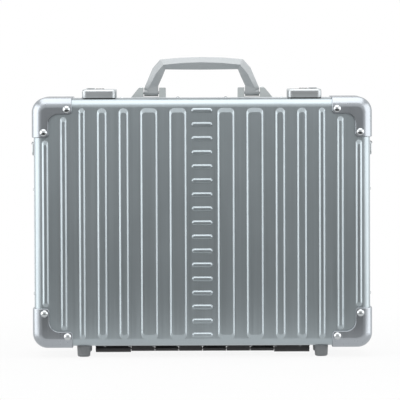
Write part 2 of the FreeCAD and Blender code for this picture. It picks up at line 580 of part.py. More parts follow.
def stay_pivot(half):
    """Headed pin out of the frame's inner face, left side."""
    base, lid, _ = stay_points()
    spot, arm_x = (base, -STAY_X - STAY_ARM_T) if half == BASE else (lid, -STAY_X + STAY_ARM_T)
    foot = -SIDE_X + FRAME_INNER
    pin = along_x(foot, arm_x + 2.0, *spot, STAY_PIN_R)
    collar = along_x(foot, arm_x - 0.2, *spot, STAY_HEAD_R)
    head = along_x(arm_x + STAY_ARM_T + 0.2, arm_x + STAY_ARM_T + 1.2, *spot, STAY_HEAD_R)
    return pin.fuse([collar, head]).removeSplitter()


# ---- inside ---------------------------------------------------------------------------------
def lining(half):
    """Flocked tray that lies against the inside of the shell."""
    rim_y = PARTING_Y + half * (FRAME_DEPTH + 0.6)
    outer = half_block(half, -SHEET_T - LINING_GAP, rim_y)
    return outer.cut(half_block(half, -SHEET_T - LINING_GAP - LINING_T, rim_y - half))


def slab(x0, x1, z0, z1, y0, y1, radius):
    return outline(rectangle(x0, z0, x1, z1, radius), seen_from_front(y0)).extrude(V(0, y1 - y0, 0))


def organiser_panel():
    return slab(-186, 186, MIDDLE_Z - 132, MIDDLE_Z + 132, *PANEL_Y, 8)


def document_pocket():
    return slab(-184, 184, MIDDLE_Z - 130, MIDDLE_Z + 28, *POCKET_Y, 6)


def small_pockets():
    return [slab(-178, -66, MIDDLE_Z - 118, MIDDLE_Z - 10, *SMALL_POCKET_Y, 4),
            slab(66, 178, MIDDLE_Z - 118, MIDDLE_Z - 10, *SMALL_POCKET_Y, 4)]


def pen_loops():
    loops = []
    for i in range(4):
        x = -36 + 24 * i
        sleeve = slab(x - 7, x + 7, MIDDLE_Z + 52, MIDDLE_Z + 82, *LOOP_Y, 3)
        loops.append(sleeve)
    return loops


def base_pad():
    return slab(-190, 190, MIDDLE_Z - 136, MIDDLE_Z + 136, *PAD_Y, 10)


def strap_halves():
    return [slab(-188, -26, MIDDLE_Z - 14, MIDDLE_Z + 14, *STRAP_Y, 0),
            slab(26, 188, MIDDLE_Z - 14, MIDDLE_Z + 14, *STRAP_Y, 0)]


def strap_buckle():
    socket = slab(-25.6, 4.0, MIDDLE_Z - 18, MIDDLE_Z + 18, 37.6, 43.8, 4)
    tongue = slab(4.3, 25.6, MIDDLE_Z - 16, MIDDLE_Z + 16, 38.4, 43.4, 3)
    return [socket, tongue]


def foot(x, y):
    stud = Part.makeCone(FOOT_TIP_R, FOOT_TOP_R, FEET_H, V(x, y, 0), Z_AXIS)
    return stud.makeFillet(FOOT_EDGE_R, [e for e in stud.Edges if e.BoundBox.ZMax < 0.01])


# ---- build and write ------------------------------------------------------------------------
def build():
    nodes = {}
    for half, name in ((LID, "lid"), (BASE, "base")):
        drills = [along_y(p.x, *sorted((half * 40, half * 70)), p.z, GUARD_RIVET_SHANK_R) for p in guard_rivet_points(half)]
        rivets = frame_rivets(half)
        nodes[f"{name}_shell"] = [shell(half).cut(drills)]
        nodes[f"{name}_frame"] = [frame(half).cut(rivets)]
        top, bottom = four_corners(guard(half))
        nodes[f"{name}_top_guards"] = [s.cut(drills) for s in top]
        nodes[f"{name}_bottom_guards"] = [s.cut(drills) for s in bottom]
        nodes[f"{name}_guard_rivets"] = guard_rivets(half)
        nodes[f"{name}_frame_rivets"] = rivets
        nodes[f"{name}_hinge_leaf"] = [hinge_leaf(half)]
        nodes[f"{name}_stay_pivots"] = in_both(lambda: stay_pivot(half))
        nodes[f"{name}_lining"] = [lining(half)]
        nodes[f"{name}_feet"] = [foot(s * FOOT_X, half * FOOT_Y) for s in (-1, 1)]
    nodes["hinge_pin"] = [along_x(-HINGE_HALF, HINGE_HALF, PARTING_Y, HINGE_Z, PIN_R)]

    nodes["handle_grip"] = [handle_grip()]
    nodes["handle_pins"] = in_both(handle_pin)
    bracket = handle_bracket()
    screws = bracket_screws()
    nodes["left_handle_bracket"] = [bracket.cut(screws)]
    nodes["right_handle_bracket"] = [s.mirror(V(0, 0, 0), X_AXIS) for s in nodes["left_handle_bracket"]]
    nodes["handle_bracket_screws"] = screws + [s.mirror(V(0, 0, 0), X_AXIS) for s in screws]

    for side, name in ((-1, "left"), (1, "right")):
        nodes[f"{name}_hasp_block"] = [at_latch(hasp_block, side)]
        nodes[f"{name}_hasp"] = [at_latch(hasp, side)]
        nodes[f"{name}_lock_housing"] = [at_latch(latch_housing, side)]
        nodes[f"{name}_slide_button"] = [at_latch(slide_button, side)]
        for i in (-1, 0, 1):
            nodes[f"{name}_dial_{i + 2}"] = [at_latch(lambda: dial(-side * i), side)]
    nodes["hasp_gaskets"] = [at_latch(hasp_gasket, s) for s in (-1, 1)]
    nodes["hasp_pins"] = [at_latch(hasp_pin, s) for s in (-1, 1)]
    nodes["dial_axles"] = [at_latch(dial_axle, s) for s in (-1, 1)]

    nodes["ring_brackets"] = in_both(ring_bracket)
    nodes["left_strap_ring"], nodes["right_strap_ring"] = ([s] for s in in_both(strap_ring))
    for name, make in (("stay_base_arm", stay_base_arm), ("stay_lid_arm", stay_lid_arm)):
        nodes[f"left_{name}"], nodes[f"right_{name}"] = ([s] for s in in_both(make))

    nodes["organiser_panel"] = [organiser_panel()]
    nodes["document_pocket"] = [document_pocket()]
    nodes["small_pockets"] = small_pockets()
    nodes["pen_loops"] = pen_loops()
    nodes["base_pad"] = [base_pad()]
    nodes["document_strap"] = strap_halves()
    nodes["strap_buckle"] = strap_buckle()
    return nodes


def write(nodes):
    os.makedirs("parts", exist_ok=True)
    for name, solids in nodes.items():
        solids = [piece for s in solids for piece in s.Solids]
        shape = solids[0] if len(solids) == 1 else Part.makeCompound(solids)
        if not shape.isValid():
            print("not valid:", name)
        shape.exportStep(f"parts/{name}.step")


write(build())
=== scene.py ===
"""Looks of the aluminium attache case: materials, soft lining and fittings, light and camera."""
import json
import math

import bmesh
import bpy
from mathutils import Matrix, Vector

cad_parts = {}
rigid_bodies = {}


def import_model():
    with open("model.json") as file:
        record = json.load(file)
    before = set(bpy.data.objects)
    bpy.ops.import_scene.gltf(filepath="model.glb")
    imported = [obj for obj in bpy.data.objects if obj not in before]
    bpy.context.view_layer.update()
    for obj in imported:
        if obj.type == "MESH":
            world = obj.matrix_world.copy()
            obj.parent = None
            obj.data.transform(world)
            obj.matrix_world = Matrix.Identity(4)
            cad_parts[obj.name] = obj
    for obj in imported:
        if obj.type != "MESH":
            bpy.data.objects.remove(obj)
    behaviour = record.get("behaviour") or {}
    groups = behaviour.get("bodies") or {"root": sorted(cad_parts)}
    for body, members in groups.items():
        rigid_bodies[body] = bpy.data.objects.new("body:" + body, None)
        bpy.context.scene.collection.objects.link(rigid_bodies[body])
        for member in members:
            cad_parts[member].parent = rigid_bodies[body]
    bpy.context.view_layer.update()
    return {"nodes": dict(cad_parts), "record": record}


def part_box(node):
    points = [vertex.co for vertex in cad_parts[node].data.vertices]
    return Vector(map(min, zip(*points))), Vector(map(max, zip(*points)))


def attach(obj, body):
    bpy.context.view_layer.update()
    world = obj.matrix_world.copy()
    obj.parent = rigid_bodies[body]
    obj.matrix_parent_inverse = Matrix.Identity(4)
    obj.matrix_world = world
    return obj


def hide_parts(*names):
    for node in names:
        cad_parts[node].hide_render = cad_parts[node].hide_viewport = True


for thing in list(bpy.data.objects):
    bpy.data.objects.remove(thing)

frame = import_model()
nodes = frame["nodes"]

# ---- places, in metres, from the frame ------------------------------------------------------
MM = 0.001
SHELL_LOW, SHELL_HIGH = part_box("lid_shell")
MIDDLE_Z = (SHELL_LOW.z + SHELL_HIGH.z) / 2
FRONT_Y = SHELL_LOW.y

# ---- camera ---------------------------------------------------------------------------------
CAMERA_DISTANCE = 4.2
CAMERA_ELEVATION = math.radians(2.6)
FRAME_WIDTH_AT_FACE = 0.4979      # width that the view covers at the lid's face
AIM = Vector((-2.6 * MM, FRONT_Y, MIDDLE_Z + 28.5 * MM))
ROLL = math.radians(-0.2)


def set_camera():
    """A long lens, nearly level, square to the lid."""
    data = bpy.data.cameras.new("camera")
    data.sensor_width = 36
    data.lens = data.sensor_width * CAMERA_DISTANCE / FRAME_WIDTH_AT_FACE
    data.clip_end = 100
    camera = bpy.data.objects.new("camera", data)
    bpy.context.scene.collection.objects.link(camera)
    back = Vector((0, -math.cos(CAMERA_ELEVATION), math.sin(CAMERA_ELEVATION)))
    turn = (-back).to_track_quat("-Z", "Y").to_matrix() @ Matrix.Rotation(ROLL, 3, "Z")
    camera.matrix_world = Matrix.Translation(AIM + back * CAMERA_DISTANCE) @ turn.to_4x4()
    bpy.context.scene.camera = camera


# ---- materials ------------------------------------------------------------------------------
def linear(code):
    """An sRGB hex colour as linear red, green, blue and alpha."""
    parts = [int(code[i:i + 2], 16) / 255 for i in (1, 3, 5)]
    return tuple(c / 12.92 if c <= 0.04045 else ((c + 0.055) / 1.055) ** 2.4 for c in parts) + (1.0,)


def add_node(tree, kind, settings=None, inputs=None):
    """Adds a node. An input is a value, or another node's output to link from."""
    made = tree.nodes.new(kind)
    for name, value in (settings or {}).items():
        setattr(made, name, value)
    for name, value in (inputs or {}).items():
        if isinstance(value, bpy.types.NodeSocket):
            tree.links.new(value, made.inputs[name])
        else:
            made.inputs[name].default_value = value
    return made


def shade(code, amount):
    """A colour made darker or lighter."""
    return tuple(min(c * amount, 1.0) for c in linear(code)[:3]) + (1.0,)


def new_material(name):
    """A material with only its shader and output."""
    material = bpy.data.materials.new(name)
    material.use_nodes = True
    tree = material.node_tree
    shader = tree.nodes["Principled BSDF"]
    return material, tree, shader


def anodised_metal(name, colour, roughness, streak, cloud=0.05, grain=0.03, metallic=1.0):
    """Satin anodised aluminium: cloudy tone, and faint streaks along the way it was rolled or drawn."""
    material, tree, shader = new_material(name)
    place = add_node(tree, "ShaderNodeTexCoord").outputs["Object"]
    clouds = add_node(tree, "ShaderNodeTexNoise", inputs={"Vector": place, "Scale": 14.0, "Detail": 3.0})
    stretched = add_node(tree, "ShaderNodeMapping", inputs={"Vector": place, "Scale": streak})
    streaks = add_node(tree, "ShaderNodeTexNoise",
                       inputs={"Vector": stretched.outputs[0], "Scale": 1.0, "Detail": 4.0})
    both = add_node(tree, "ShaderNodeMix", {"data_type": "FLOAT"},
                    {0: 0.4, 2: clouds.outputs[0], 3: streaks.outputs[0]})
    spread = add_node(tree, "ShaderNodeMapRange",
                      inputs={"Value": both.outputs[0], "From Min": 0.35, "From Max": 0.65})
    tone = add_node(tree, "ShaderNodeMix",
                    {"data_type": "RGBA"},
                    {0: spread.outputs[0], 6: shade(colour, 1 - cloud), 7: shade(colour, 1 + cloud)})
    tree.links.new(tone.outputs[2], shader.inputs["Base Color"])
    dull = add_node(tree, "ShaderNodeMapRange", inputs={
        "Value": streaks.outputs[0], "From Min": 0.3, "From Max": 0.7,
        "To Min": roughness - grain, "To Max": roughness + grain})
    tree.links.new(dull.outputs[0], shader.inputs["Roughness"])
    shader.inputs["Metallic"].default_value = metallic
    return material


def lacquer(name, colour, roughness, metallic, peel):
    """Sprayed lacquer: a faint orange peel, and specks of aluminium flake that lift the tone here and there."""
    material, tree, shader = new_material(name)
    place = add_node(tree, "ShaderNodeTexCoord").outputs["Object"]
    flakes = add_node(tree, "ShaderNodeTexVoronoi", inputs={"Vector": place, "Scale": 1 / (0.9 * MM)})
    cloud = add_node(tree, "ShaderNodeTexNoise", inputs={"Vector": place, "Scale": 30.0, "Detail": 3.0})
    speck = add_node(tree, "ShaderNodeMix", {"data_type": "FLOAT"},
                     {0: 0.7, 2: flakes.outputs["Distance"], 3: cloud.outputs[0]})
    spread = add_node(tree, "ShaderNodeMapRange",
                      inputs={"Value": speck.outputs[0], "From Min": 0.3, "From Max": 0.7})
    tone = add_node(tree, "ShaderNodeMix", {"data_type": "RGBA"},
                    {0: spread.outputs[0], 6: shade(colour, 0.95), 7: shade(colour, 1.05)})
    tree.links.new(tone.outputs[2], shader.inputs["Base Color"])
    dull = add_node(tree, "ShaderNodeMapRange", inputs={
        "Value": cloud.outputs[0], "From Min": 0.3, "From Max": 0.7,
        "To Min": roughness - 0.04, "To Max": roughness + 0.04})
    tree.links.new(dull.outputs[0], shader.inputs["Roughness"])
    wave = add_node(tree, "ShaderNodeTexNoise",
                    inputs={"Vector": place, "Scale": 1 / (1.5 * MM), "Detail": 1.0})
    bump = add_node(tree, "ShaderNodeBump",
                    inputs={"Height": wave.outputs[0], "Distance": peel, "Strength": 0.5})
    tree.links.new(bump.outputs[0], shader.inputs["Normal"])
    shader.inputs["Metallic"].default_value = metallic
    return material


def moulded(name, colour, roughness, grain, depth):
    """Injection moulded plastic or rubber: a spark-eroded grain, and a tone that clouds a little."""
    material, tree, shader = new_material(name)
    place = add_node(tree, "ShaderNodeTexCoord").outputs["Object"]
    cloud = add_node(tree, "ShaderNodeTexNoise", inputs={"Vector": place, "Scale": 60.0, "Detail": 3.0})
    tone = add_node(tree, "ShaderNodeMix", {"data_type": "RGBA"},
                    {0: cloud.outputs[0], 6: shade(colour, 0.88), 7: shade(colour, 1.14)})
    tree.links.new(tone.outputs[2], shader.inputs["Base Color"])
    spark = add_node(tree, "ShaderNodeTexNoise", inputs={"Vector": place, "Scale": 1 / grain, "Detail": 2.0})
    dull = add_node(tree, "ShaderNodeMapRange", inputs={
        "Value": spark.outputs[0], "To Min": roughness - 0.08, "To Max": roughness + 0.08})
    tree.links.new(dull.outputs[0], shader.inputs["Roughness"])
    bump = add_node(tree, "ShaderNodeBump",
                    inputs={"Height": spark.outputs[0], "Distance": depth, "Strength": 0.6})
    tree.links.new(bump.outputs[0], shader.inputs["Normal"])
    return material


def grained_leather(name, colour):
    """Embossed calf leather: pebbles about 1.3 mm across, with painted shade darkening the creases between them."""
    material, tree, shader = new_material(name)
    place = add_node(tree, "ShaderNodeTexCoord").outputs["Object"]
    bend = add_node(tree, "ShaderNodeTexNoise", inputs={"Vector": place, "Scale": 240.0, "Detail": 2.0})
    moved = add_node(tree, "ShaderNodeVectorMath", {"operation": "MULTIPLY_ADD"},
                     {0: bend.outputs["Color"], 1: (0.6 * MM,) * 3, 2: place})
    pebbles = add_node(tree, "ShaderNodeTexVoronoi", {"feature": "DISTANCE_TO_EDGE"},
                       {"Vector": moved.outputs[0], "Scale": 1 / (1.3 * MM)})
    crease = add_node(tree, "ShaderNodeMapRange",
                      inputs={"Value": pebbles.outputs["Distance"], "From Max": 0.18})
    wear = add_node(tree, "ShaderNodeTexNoise", inputs={"Vector": place, "Scale": 18.0, "Detail": 4.0})
    worn = add_node(tree, "ShaderNodeMix", {"data_type": "RGBA"},
                    {0: wear.outputs[0], 6: shade(colour, 0.85), 7: shade(colour, 1.35)})
    # painted shade: the creases between the pebbles are coloured at 0.45 of the leather's colour
    tone = add_node(tree, "ShaderNodeMix", {"data_type": "RGBA"},
                    {0: crease.outputs[0], 6: shade(colour, 0.45), 7: worn.outputs[2]})
    tree.links.new(tone.outputs[2], shader.inputs["Base Color"])
    dull = add_node(tree, "ShaderNodeMapRange",
                    inputs={"Value": crease.outputs[0], "To Min": 0.7, "To Max": 0.46})
    tree.links.new(dull.outputs[0], shader.inputs["Roughness"])
    bump = add_node(tree, "ShaderNodeBump",
                    inputs={"Height": crease.outputs[0], "Distance": 0.25 * MM, "Strength": 0.7})
    tree.links.new(bump.outputs[0], shader.inputs["Normal"])
    return material


def woven(name, colour, thread, sheen, ribs_only=False):
    """Woven polyester: rows of threads over and under each other, with fuzz that lightens at the edges.
    Painted light lifts the thread crowns and painted shade darkens the gaps between them, over a random cloudy tone.
    Webbing shows only the ribs across its length."""
    material, tree, shader = new_material(name)
    place = add_node(tree, "ShaderNodeTexCoord").outputs["Object"]
    waves = [add_node(tree, "ShaderNodeTexWave", {"bands_direction": way},
                      {"Vector": place, "Scale": math.pi / 10 / thread, "Distortion": 0.3, "Detail": 1.0})
             for way in ("X", "Z")]
    if ribs_only:
        height = waves[0].outputs["Fac"]
    else:
        height = add_node(tree, "ShaderNodeMath", {"operation": "MULTIPLY"},
                          {0: waves[0].outputs["Fac"], 1: waves[1].outputs["Fac"]}).outputs[0]
    cloud = add_node(tree, "ShaderNodeTexNoise", inputs={"Vector": place, "Scale": 25.0, "Detail": 4.0})
    # painted light and shade: thread crowns coloured lighter and the gaps between threads darker, mixed with a random
    # cloud of tone
    painted_crown_light_and_cloud = add_node(tree, "ShaderNodeMath",
                   {"operation": "MULTIPLY_ADD"}, {0: height, 1: 0.6, 2: cloud.outputs[0]})
    spread = add_node(tree, "ShaderNodeMapRange",
                      inputs={"Value": painted_crown_light_and_cloud.outputs[0], "From Min": 0.35, "From Max": 1.15})
    tone = add_node(tree, "ShaderNodeMix", {"data_type": "RGBA"},
                    {0: spread.outputs[0], 6: shade(colour, 0.6), 7: shade(colour, 1.35)})
    tree.links.new(tone.outputs[2], shader.inputs["Base Color"])
    bump = add_node(tree, "ShaderNodeBump",
                    inputs={"Height": height, "Distance": 0.3 * thread, "Strength": 0.7})
    tree.links.new(bump.outputs[0], shader.inputs["Normal"])
    dull = add_node(tree, "ShaderNodeMapRange",
                    inputs={"Value": cloud.outputs[0], "To Min": 0.8, "To Max": 0.95})
    tree.links.new(dull.outputs[0], shader.inputs["Roughness"])
    shader.inputs["Sheen Weight"].default_value = sheen
    shader.inputs["Sheen Roughness"].default_value = 0.5
    return material


SHEET_STREAKS = (600.0, 600.0, 6.0)       # streaks 1.7 mm wide and 170 mm long, upright
LENGTH_STREAKS = (6.0, 600.0, 600.0)

FINISHES = {
    # 1.5 mm aluminium sheet, drawn and satin anodised: soft grey with wide, blurred highlights
    "anodised_sheet": anodised_metal("satin_anodised_aluminium_sheet", "#a1aaae", 0.38, SHEET_STREAKS),
    # extruded aluminium, bead blasted and anodised: a little lighter than the sheet, and smoother
    "anodised_frame": anodised_metal("anodised_aluminium_extrusion", "#a9adb0", 0.30, LENGTH_STREAKS),
    # pressed aluminium corners, a shade bluer and smoother than the sheet
    "corner_guard": anodised_metal("pressed_anodised_aluminium", "#9fa4a9", 0.30, SHEET_STREAKS),
    # nickel plated rivet heads, polished in a drum: they mirror the lamps as small crescents
    "rivet": anodised_metal("polished_nickel_plate", "#b4b8ba", 0.14, SHEET_STREAKS, 0.02, 0.02),
    # stamped steel under black stoving lacquer: dark, with a soft grey shine along the knuckles
    "hinge_steel": lacquer("black_lacquered_steel", "#2a2a2b", 0.40, 0.2, 0.03 * MM),
    # zinc casting under silver lacquer: plastic-like, its facets show as flat tones
    "handle_paint": lacquer("silver_lacquered_zinc_casting", "#a3a7a9", 0.5, 0.2, 0.03 * MM),
    "bracket_cast": lacquer("silver_lacquered_bracket", "#b4b9b9", 0.5, 0.2, 0.03 * MM),
    # nickel plate brushed along the latch: darker than the shell, with white rounded edges
    "latch_plate": anodised_metal("satin_nickel_plate", "#adb1b3", 0.38, LENGTH_STREAKS, 0.03, 0.04),
    "lock_housing": anodised_metal("satin_nickel_zinc_casting", "#a6abad", 0.38, LENGTH_STREAKS, 0.03, 0.04),
    # drawn steel wire: bright, with streaks along it
    "pin_steel": anodised_metal("bright_drawn_steel", "#b5b6b8", 0.2, LENGTH_STREAKS, 0.03, 0.04),
    # acetal wheels: black and faintly waxy
    "dial_plastic": moulded("black_acetal", "#19191b", 0.4, 0.5 * MM, 0.03 * MM),
    # rubber gasket: nearly black and quite dull
    "rubber": moulded("black_rubber", "#1d1e1f", 0.75, 0.6 * MM, 0.05 * MM),
    # polypropylene studs: mid grey with a moulded grain
    "foot_plastic": moulded("grey_polypropylene", "#777a7c", 0.5, 0.6 * MM, 0.04 * MM),
    # zinc plated strip steel: bluish and cloudy
    "stay_steel": anodised_metal("zinc_plated_steel", "#aeb1b3", 0.27, (600.0, 600.0, 60.0), 0.09, 0.05),
    # woven polyester lining. Its 0.4 mm threads are drawn 1.6 mm wide, so that they show
    "lining_fabric": woven("charcoal_woven_polyester", "#505157", 1.6 * MM, 0.3),
    # calf leather with an embossed grain: black, with dull creases darkened by painted shade, and soft shine on the
    # pebbles
    "pocket_leather": grained_leather("black_grained_leather", "#323234"),
    # polyester webbing, with ribs 1.8 mm apart across its length
    "webbing": woven("black_polyester_webbing", "#26272a", 1.8 * MM, 0.15, ribs_only=True),
    # acetal buckle: black with a moulded shine
    "buckle_plastic": moulded("black_acetal_buckle", "#1b1b1c", 0.33, 0.8 * MM, 0.02 * MM),
}
# three-ply polyester sewing thread: grey, dull, a little lighter where it turns
THREAD = moulded("grey_sewing_thread", "#8c8d91", 0.8, 0.5 * MM, 0.05 * MM)
# white ink pressed into the number wheels
INK = moulded("white_pad_print_ink", "#e9e9e6", 0.55, 0.3 * MM, 0.01 * MM)


def finish_cad_nodes():
    for row in frame["record"]["subparts"]:
        piece = nodes[row["node"]]
        piece.data.materials.clear()
        piece.data.materials.append(FINISHES[row["material_slot"]])


# ---- modelling ------------------------------------------------------------------------------
def take_nothing():
    for other in bpy.context.selected_objects:
        other.select_set(False)


def take(piece):
    """Makes the piece the only selected object."""
    take_nothing()
    piece.select_set(True)
    bpy.context.view_layer.objects.active = piece


def settle(piece, name=None):
    """Puts the piece's place, turn and size into its mesh."""
    if name:
        piece.name = piece.data.name = name
    take(piece)
    bpy.ops.object.transform_apply(location=True, rotation=True, scale=True)
    return piece


def block(name, low, high):
    """A box from its lowest to its highest corner."""
    low, high = Vector(low), Vector(high)
    take_nothing()
    bpy.ops.mesh.primitive_cube_add(size=1, location=(low + high) / 2)
    piece = bpy.context.object
    piece.scale = high - low
    return settle(piece, name)


def edit(piece, kind, wanted):
    """Opens the piece in edit mode with the wanted edges or faces selected.
    wanted is asked about each one's middle, and its normal or direction."""
    take(piece)
    bpy.ops.object.mode_set(mode="EDIT")
    bpy.ops.mesh.select_mode(type=kind)
    bpy.ops.mesh.select_all(action="DESELECT")
    mesh = bmesh.from_edit_mesh(piece.data)
    for element in mesh.faces if kind == "FACE" else mesh.edges:
        ends = [v.co for v in element.verts]
        middle = sum(ends, Vector()) / len(ends)
        way = element.normal if kind == "FACE" else (ends[1] - ends[0]).normalized()
        if wanted(middle, way):
            element.select_set(True)
    bmesh.update_edit_mesh(piece.data)


def close_edit():
    bpy.ops.object.mode_set(mode="OBJECT")


def modify(piece, kind, **settings):
    """Adds a modifier and applies it."""
    take(piece)
    modifier = piece.modifiers.new(kind.lower(), kind)
    for name, value in settings.items():
        setattr(modifier, name, value)
    bpy.ops.object.modifier_apply(modifier=modifier.name)


def copy_of(piece, name, shift):
    """A copy with its own mesh, moved by shift."""
    take(piece)
    bpy.ops.object.duplicate(linked=False)
    twin = bpy.context.object
    twin.location = shift
    return settle(twin, name)


def join(pieces, name):
    take(pieces[0])
    for piece in pieces[1:]:
        piece.select_set(True)
    bpy.ops.object.join()
    pieces[0].name = pieces[0].data.name = name
    return pieces[0]


def finish_piece(piece, body, material, replaces=(), angle=40):
    """Smooth shading, one material, and the body that it moves with."""
    take(piece)
    bpy.ops.object.shade_smooth_by_angle(angle=math.radians(angle))
    piece.data.materials.clear()
    piece.data.materials.append(material)
    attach(piece, body)
    if replaces:
        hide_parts(*replaces)
    return piece


# ---- stitches -------------------------------------------------------------------------------
STITCH_L, STITCH_W, STITCH_PITCH = 3.2 * MM, 0.9 * MM, 4.4 * MM


def seam(name, start, end, up):
    """A straight row of stitches that lies on a surface. up is the surface's normal."""
    start, end, up = Vector(start), Vector(end), Vector(up)
    along = (end - start).normalized()
    take_nothing()
    bpy.ops.mesh.primitive_cylinder_add(vertices=6, radius=STITCH_W / 2, depth=STITCH_L * 0.6)
    stitch = bpy.context.object
    edit(stitch, "FACE", lambda middle, way: abs(way.z) > 0.9)
    bpy.ops.mesh.extrude_faces_move(TRANSFORM_OT_shrink_fatten={"value": STITCH_L * 0.2})
    mesh = bmesh.from_edit_mesh(stitch.data)
    for vertex in mesh.verts:
        if abs(vertex.co.z) > STITCH_L * 0.45:
            vertex.co.x *= 0.35
            vertex.co.y = vertex.co.y * 0.35 - STITCH_W * 0.2
    bmesh.update_edit_mesh(stitch.data)
    close_edit()
    lie = Matrix((along.cross(up), up, along)).transposed().to_4x4()
    count = int((end - start).length / STITCH_PITCH)
    spare = (end - start).length - (count - 1) * STITCH_PITCH
    stitch.matrix_world = Matrix.Translation(start + along * spare / 2) @ lie
    settle(stitch, name)
    edit(stitch, "FACE", lambda middle, way: True)
    bpy.ops.mesh.normals_make_consistent(inside=False)
    close_edit()
    modify(stitch, "ARRAY", count=count, use_relative_offset=False, use_constant_offset=True,
           constant_offset_displace=along * STITCH_PITCH)
    return stitch


def seams(name, rows, up, body):
    made = [seam(name, start, end, up) for start, end in rows]
    return finish_piece(join(made, name), body, THREAD, angle=60)


# ---- lining, pad and pockets ----------------------------------------------------------------
LINER_CORNER_R, LINER_EDGE_R, LINER_T = 14.3 * MM, 8 * MM, 1.9 * MM


def liner(half, opening):
    """Fabric covered tray inside one half. opening is -1 or 1: the way along Y that it opens."""
    low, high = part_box(f"{half}_lining")
    tray = block(f"{half}_liner", low, high)
    edit(tray, "FACE", lambda middle, way: way.y * opening > 0.9)
    bpy.ops.mesh.delete(type="FACE")
    close_edit()
    edit(tray, "EDGE", lambda middle, way: abs(way.y) > 0.9)
    bpy.ops.mesh.bevel(offset=LINER_CORNER_R, segments=6, affect="EDGES")
    close_edit()
    floor_y = low.y if opening > 0 else high.y
    edit(tray, "EDGE", lambda middle, way: abs(middle.y - floor_y) < 1e-5 and abs(way.y) < 0.1)
    bpy.ops.mesh.bevel(offset=LINER_EDGE_R, segments=4, affect="EDGES")
    close_edit()
    modify(tray, "SOLIDIFY", thickness=LINER_T, offset=-1, use_even_offset=True)
    rim_y = high.y if opening > 0 else low.y
    edit(tray, "EDGE", lambda middle, way: abs(middle.y - rim_y) < 1e-5 and abs(way.y) < 0.1)
    bpy.ops.mesh.bevel(offset=0.6 * MM, segments=2, affect="EDGES")
    close_edit()
    finish_piece(tray, half, FINISHES["lining_fabric"], [f"{half}_lining"])


def upright_grid(name, low, high, y, cell, facing):
    """A flat grid of about square cells in the XZ plane, facing -Y or +Y."""
    width, height = high.x - low.x, high.z - low.z
    take_nothing()
    bpy.ops.mesh.primitive_grid_add(x_subdivisions=round(width / cell),
                                    y_subdivisions=round(height / cell), size=1,
                                    location=((low.x + high.x) / 2, y, (low.z + high.z) / 2),
                                    rotation=(-facing * math.pi / 2, 0, 0))
    piece = bpy.context.object
    piece.scale = (width, height, 1)
    return settle(piece, name)


def round_corners(piece, low, high, radius):
    """Draws the corner cells of an upright grid onto arcs."""
    for vertex in piece.data.vertices:
        reach = []
        for value, lowest, highest in ((vertex.co.x, low.x, high.x), (vertex.co.z, low.z, high.z)):
            reach.append(max(value - (highest - radius), 0) + min(value - (lowest + radius), 0))
        longest, length = max(abs(reach[0]), abs(reach[1])), math.hypot(*reach)
        if min(abs(reach[0]), abs(reach[1])) > 0:
            vertex.co.x += reach[0] * (longest / length - 1)
            vertex.co.z += reach[1] * (longest / length - 1)


def inflate(piece, held, most):
    """Cloth simulation: air pressure fills the pad, and the held vertices stay. No vertex moves further than most."""
    before = [v.co.copy() for v in piece.data.vertices]
    group = piece.vertex_groups.new(name="held")
    group.add(held, 1.0, "REPLACE")
    take(piece)
    cloth = piece.modifiers.new("cloth", "CLOTH")
    cloth.settings.quality = 4
    cloth.settings.mass = 0.2
    cloth.settings.tension_stiffness = cloth.settings.compression_stiffness = 12
    cloth.settings.shear_stiffness = 4
    cloth.settings.bending_stiffness = 0.3
    cloth.settings.vertex_group_mass = "held"
    cloth.settings.use_pressure = True
    cloth.settings.uniform_pressure_force = 4
    cloth.settings.effector_weights.gravity = 0
    cloth.collision_settings.use_collision = False
    cloth.point_cache.frame_start, cloth.point_cache.frame_end = 1, 20
    scene = bpy.context.scene
    for number in range(1, 21):
        scene.frame_set(number)
    bpy.ops.object.modifier_apply(modifier="cloth")
    scene.frame_set(1)
    for vertex, start in zip(piece.data.vertices, before):
        move = vertex.co - start
        if move.length > most:
            vertex.co = start + move * (most / move.length)
    piece.vertex_groups.clear()


PAD_CELL, QUILT_CELLS = 4.0 * MM, 12
SEWN_DEPTH = 1.7 * MM
PAD_RISE = 3.2 * MM                # room that the air fills in front of the flat pad


def quilted_pad():
    """Foam pad on the base's floor, quilted in diamonds about 34 mm across."""
    low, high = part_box("base_pad")
    front_y = low.y + PAD_RISE
    pad = upright_grid("base_quilted_pad", low, high, front_y, PAD_CELL, -1)
    columns, rows = round((high.x - low.x) / PAD_CELL), round((high.z - low.z) / PAD_CELL)
    edit(pad, "FACE", lambda middle, way: True)
    bpy.ops.mesh.extrude_region_move(TRANSFORM_OT_translate={"value": (0, high.y - front_y, 0)})
    bpy.ops.mesh.select_all(action="SELECT")
    bpy.ops.mesh.normals_make_consistent(inside=False)
    close_edit()
    held = []
    for vertex in pad.data.vertices:
        column = round((vertex.co.x - low.x) / (high.x - low.x) * columns)
        row = round((vertex.co.z - low.z) / (high.z - low.z) * rows)
        rim = min(column, row, columns - column, rows - row)
        sewn = (column + row) % QUILT_CELLS == 0 or (column - row) % QUILT_CELLS == 0 or rim in (0, 2)
        if vertex.co.y > front_y + MM or sewn:
            held.append(vertex.index)
        if vertex.co.y < front_y + MM and sewn and rim > 0:
            vertex.co.y += SEWN_DEPTH
    round_corners(pad, low, high, 10 * MM)
    inflate(pad, held, 3.0 * MM)
    modify(pad, "SUBSURF", levels=1, render_levels=1)
    finish_piece(pad, "base", FINISHES["lining_fabric"], ["base_pad"], 80)


